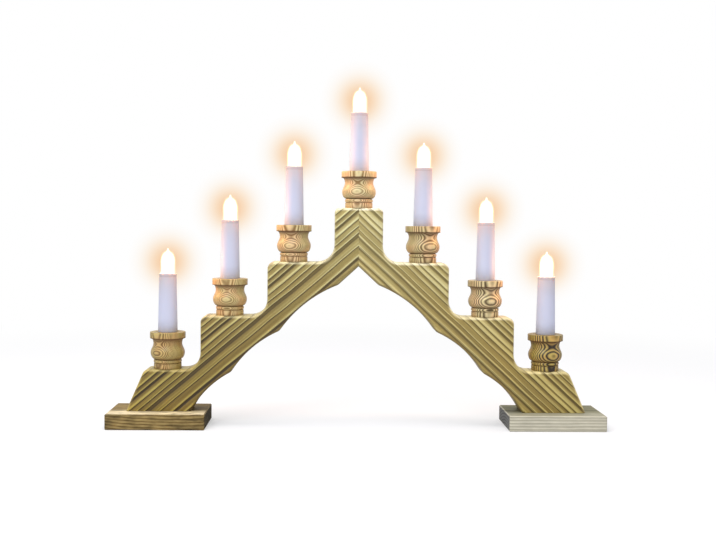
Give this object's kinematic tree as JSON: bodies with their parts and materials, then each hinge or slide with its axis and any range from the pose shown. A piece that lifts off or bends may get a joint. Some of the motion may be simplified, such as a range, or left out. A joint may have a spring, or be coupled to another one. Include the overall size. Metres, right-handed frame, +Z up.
{
  "type": "candle arch",
  "caption": "Stepped pine candle arch on two foot blocks, with turned cups, white sleeves and screw-in candle bulbs wired along a groove at the back.",
  "frame": {"origin": "on the surface under the feet, below the mitre, in the middle of the depth", "axes": "+X along the arch to the right seen from the front, +Y to the back, +Z up"},
  "size_m": [0.494, 0.062, 0.3391],
  "materials": {
    "arch_pine": "brushed pine, raised grain, clear varnish",
    "cup_pine": "turned pine, satin varnish",
    "foot_pine_brown": "planed pine, satin varnish",
    "foot_pine_grey": "planed pine, pale, satin varnish",
    "dowel_wood": "beech",
    "sleeve_plastic": "white moulded, slightly translucent",
    "holder_plastic": "moulded thermoset",
    "gland_plastic": "white moulded",
    "wire_sheath": "white insulation",
    "bulb_glass": "clear",
    "cap_brass": "bright",
    "shell_brass": "bright",
    "contact_bronze": "bright",
    "filament_wire": "drawn wire",
    "base_insulator": "black glass insulator with solder tip",
    "staple_steel": "galvanised",
    "screw_steel": "yellow passivated"
  },
  "bodies": {
    "arch": {"arch_half_left": "arch_pine", "arch_half_right": "arch_pine", "foot_left": "foot_pine_brown", "foot_right": "foot_pine_grey", "screw_shells": "shell_brass", "centre_contacts": "contact_bronze", "series_wires": "wire_sheath", "wire_staples": "staple_steel", "apex_dowels": "dowel_wood", "foot_screws": "screw_steel", "cord_gland": "gland_plastic", "candle_cup_1": "cup_pine", "candle_sleeve_1": "sleeve_plastic", "lamp_holder_1": "holder_plastic", "candle_cup_2": "cup_pine", "candle_sleeve_2": "sleeve_plastic", "lamp_holder_2": "holder_plastic", "candle_cup_3": "cup_pine", "candle_sleeve_3": "sleeve_plastic", "lamp_holder_3": "holder_plastic", "candle_cup_4": "cup_pine", "candle_sleeve_4": "sleeve_plastic", "lamp_holder_4": "holder_plastic", "candle_cup_5": "cup_pine", "candle_sleeve_5": "sleeve_plastic", "lamp_holder_5": "holder_plastic", "candle_cup_6": "cup_pine", "candle_sleeve_6": "sleeve_plastic", "lamp_holder_6": "holder_plastic", "candle_cup_7": "cup_pine", "candle_sleeve_7": "sleeve_plastic", "lamp_holder_7": "holder_plastic"},
    "bulb_foot_1": {"bulb_contact_1": "base_insulator"},
    "bulb_1": {"bulb_glass_1": "bulb_glass", "bulb_cap_1": "cap_brass", "bulb_filament_1": "filament_wire"},
    "bulb_foot_2": {"bulb_contact_2": "base_insulator"},
    "bulb_2": {"bulb_glass_2": "bulb_glass", "bulb_cap_2": "cap_brass", "bulb_filament_2": "filament_wire"},
    "bulb_foot_3": {"bulb_contact_3": "base_insulator"},
    "bulb_3": {"bulb_glass_3": "bulb_glass", "bulb_cap_3": "cap_brass", "bulb_filament_3": "filament_wire"},
    "bulb_foot_4": {"bulb_contact_4": "base_insulator"},
    "bulb_4": {"bulb_glass_4": "bulb_glass", "bulb_cap_4": "cap_brass", "bulb_filament_4": "filament_wire"},
    "bulb_foot_5": {"bulb_contact_5": "base_insulator"},
    "bulb_5": {"bulb_glass_5": "bulb_glass", "bulb_cap_5": "cap_brass", "bulb_filament_5": "filament_wire"},
    "bulb_foot_6": {"bulb_contact_6": "base_insulator"},
    "bulb_6": {"bulb_glass_6": "bulb_glass", "bulb_cap_6": "cap_brass", "bulb_filament_6": "filament_wire"},
    "bulb_foot_7": {"bulb_contact_7": "base_insulator"},
    "bulb_7": {"bulb_glass_7": "bulb_glass", "bulb_cap_7": "cap_brass", "bulb_filament_7": "filament_wire"}
  },
  "joints": [
    {"name": "bulb_1_rise", "type": "slide", "parent": "arch", "child": "bulb_foot_1", "axis": [0, 0, 1], "range_m": [0, 0.0064]},
    {"name": "bulb_1_turn", "type": "hinge", "parent": "bulb_foot_1", "child": "bulb_1", "pos_m": [-0.1904, 0, 0.1521], "axis": [0, 0, 1], "range_deg": [0, 1260]},
    {"name": "bulb_2_rise", "type": "slide", "parent": "arch", "child": "bulb_foot_2", "axis": [0, 0, 1], "range_m": [0, 0.0064]},
    {"name": "bulb_2_turn", "type": "hinge", "parent": "bulb_foot_2", "child": "bulb_2", "pos_m": [-0.1284, 0, 0.2061], "axis": [0, 0, 1], "range_deg": [0, 1260]},
    {"name": "bulb_3_rise", "type": "slide", "parent": "arch", "child": "bulb_foot_3", "axis": [0, 0, 1], "range_m": [0, 0.0064]},
    {"name": "bulb_3_turn", "type": "hinge", "parent": "bulb_foot_3", "child": "bulb_3", "pos_m": [-0.0647, 0, 0.2601], "axis": [0, 0, 1], "range_deg": [0, 1260]},
    {"name": "bulb_4_rise", "type": "slide", "parent": "arch", "child": "bulb_foot_4", "axis": [0, 0, 1], "range_m": [0, 0.0064]},
    {"name": "bulb_4_turn", "type": "hinge", "parent": "bulb_foot_4", "child": "bulb_4", "pos_m": [0, 0, 0.3141], "axis": [0, 0, 1], "range_deg": [0, 1260]},
    {"name": "bulb_5_rise", "type": "slide", "parent": "arch", "child": "bulb_foot_5", "axis": [0, 0, 1], "range_m": [0, 0.0064]},
    {"name": "bulb_5_turn", "type": "hinge", "parent": "bulb_foot_5", "child": "bulb_5", "pos_m": [0.0647, 0, 0.2601], "axis": [0, 0, 1], "range_deg": [0, 1260]},
    {"name": "bulb_6_rise", "type": "slide", "parent": "arch", "child": "bulb_foot_6", "axis": [0, 0, 1], "range_m": [0, 0.0064]},
    {"name": "bulb_6_turn", "type": "hinge", "parent": "bulb_foot_6", "child": "bulb_6", "pos_m": [0.1284, 0, 0.2061], "axis": [0, 0, 1], "range_deg": [0, 1260]},
    {"name": "bulb_7_rise", "type": "slide", "parent": "arch", "child": "bulb_foot_7", "axis": [0, 0, 1], "range_m": [0, 0.0064]},
    {"name": "bulb_7_turn", "type": "hinge", "parent": "bulb_foot_7", "child": "bulb_7", "pos_m": [0.1904, 0, 0.1521], "axis": [0, 0, 1], "range_deg": [0, 1260]}
  ],
  "couplings": [
    {"joint": "bulb_1_rise", "follows": "bulb_1_turn", "m_per_rad": 0.00028871},
    {"joint": "bulb_2_rise", "follows": "bulb_2_turn", "m_per_rad": 0.00028871},
    {"joint": "bulb_3_rise", "follows": "bulb_3_turn", "m_per_rad": 0.00028871},
    {"joint": "bulb_4_rise", "follows": "bulb_4_turn", "m_per_rad": 0.00028871},
    {"joint": "bulb_5_rise", "follows": "bulb_5_turn", "m_per_rad": 0.00028871},
    {"joint": "bulb_6_rise", "follows": "bulb_6_turn", "m_per_rad": 0.00028871},
    {"joint": "bulb_7_rise", "follows": "bulb_7_turn", "m_per_rad": 0.00028871}
  ]
}
